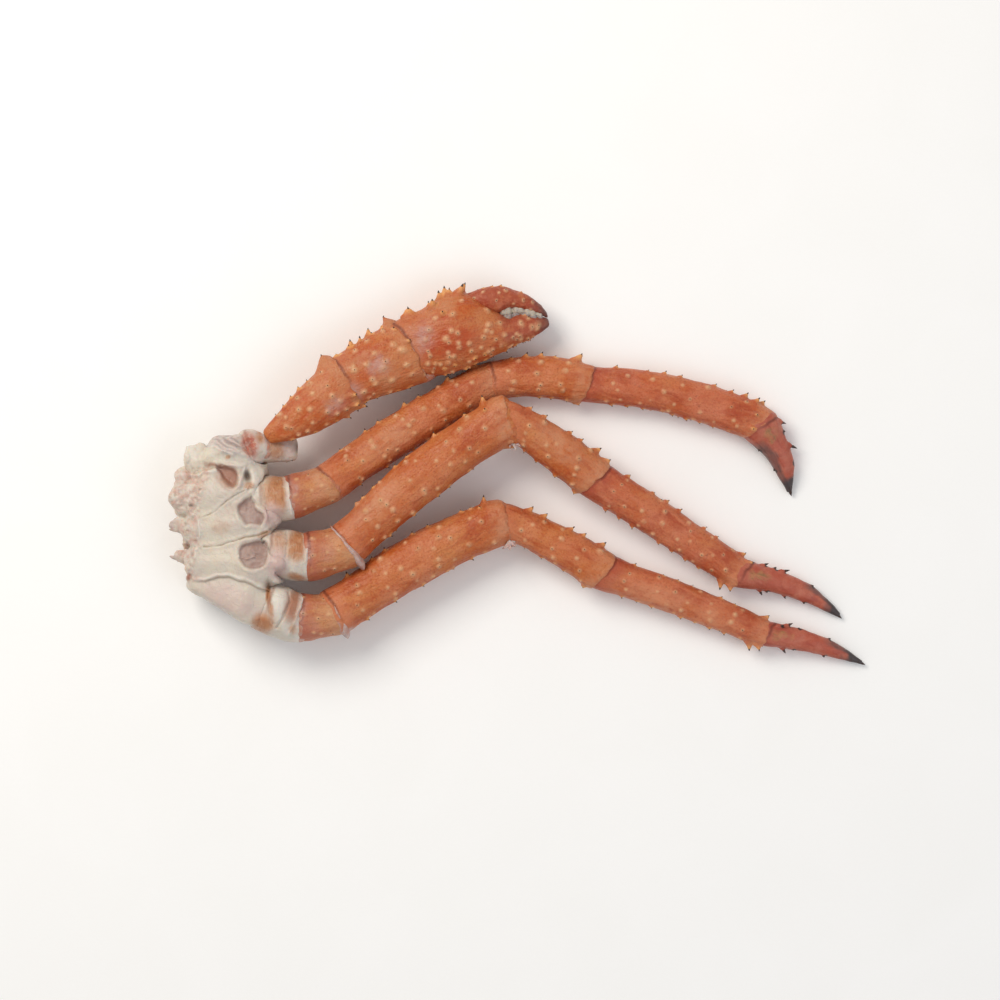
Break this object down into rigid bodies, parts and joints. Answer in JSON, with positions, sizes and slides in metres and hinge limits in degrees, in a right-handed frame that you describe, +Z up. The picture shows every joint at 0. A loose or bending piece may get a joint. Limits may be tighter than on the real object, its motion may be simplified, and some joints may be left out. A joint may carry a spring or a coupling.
{
  "type": "king crab leg cluster",
  "caption": "Cooked king crab leg cluster: spiny jointed walking legs and a closed claw on a pale half body, lying with the underside up.",
  "frame": {"origin": "on the table below the middle of the cluster's box", "axes": "+X from the half body towards the toes, +Y towards the claw, +Z up out of the pale underside"},
  "size_m": [0.3907, 0.2132, 0.0418],
  "materials": {
    "red_shell": "moist cooked shell, orange red with cream bumps",
    "toe_shell": "deep red shell that darkens to a grey brown horny tip",
    "tan_shell": "thin tan shell with whitish rims",
    "pale_shell": "pale moist underside shell with mauve thin windows",
    "membrane": "wet whitish joint skin",
    "claw_teeth": "chalky greyish white crushing teeth"
  },
  "bodies": {
    "root": {"body_section": "pale_shell", "leg_1_coxa": "tan_shell", "leg_1_ischium": "tan_shell", "leg_1_merus": "red_shell", "leg_1_carpus": "red_shell", "leg_1_propodus": "red_shell", "leg_1_dactyl": "toe_shell", "leg_2_coxa": "tan_shell", "leg_2_ischium": "tan_shell", "leg_2_merus": "red_shell", "leg_2_carpus": "red_shell", "leg_2_propodus": "red_shell", "leg_2_dactyl": "toe_shell", "leg_3_coxa": "tan_shell", "leg_3_ischium": "tan_shell", "leg_3_merus": "red_shell", "leg_3_carpus": "red_shell", "leg_3_propodus": "red_shell", "leg_3_dactyl": "toe_shell", "claw_coxa": "tan_shell", "claw_ischium": "tan_shell", "claw_merus": "red_shell", "claw_carpus": "red_shell", "claw_palm": "red_shell", "claw_finger": "red_shell"}
  },
  "joints": []
}
